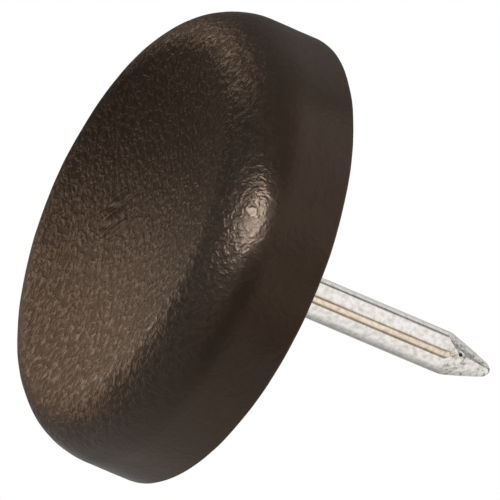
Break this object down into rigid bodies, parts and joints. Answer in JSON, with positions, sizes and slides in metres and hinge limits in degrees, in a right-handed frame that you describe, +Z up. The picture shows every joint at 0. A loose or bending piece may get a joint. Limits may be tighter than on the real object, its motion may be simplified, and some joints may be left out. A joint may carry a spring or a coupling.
{
  "type": "nail-on furniture glide",
  "caption": "Round moulded plastic furniture glide with a dished face, rolled edge and flat back, and a pointed steel nail moulded into the back for driving into a chair or table leg.",
  "frame": {"origin": "on the floor plane, under the middle of the disc, where the gliding ring rests", "axes": "+Z up along the nail from the disc's back to the tip; +X and +Y square to two neighbouring facets of the diamond point"},
  "size_m": [0.022, 0.022, 0.0199],
  "materials": {
    "brown_plastic": "moulded, fine spark-eroded grain on the gliding face, smoother side and back",
    "zinc_plated_steel": "drawn wire, bright zinc plate"
  },
  "bodies": {
    "root": {"glide_disc": "brown_plastic", "nail": "zinc_plated_steel"}
  },
  "joints": []
}
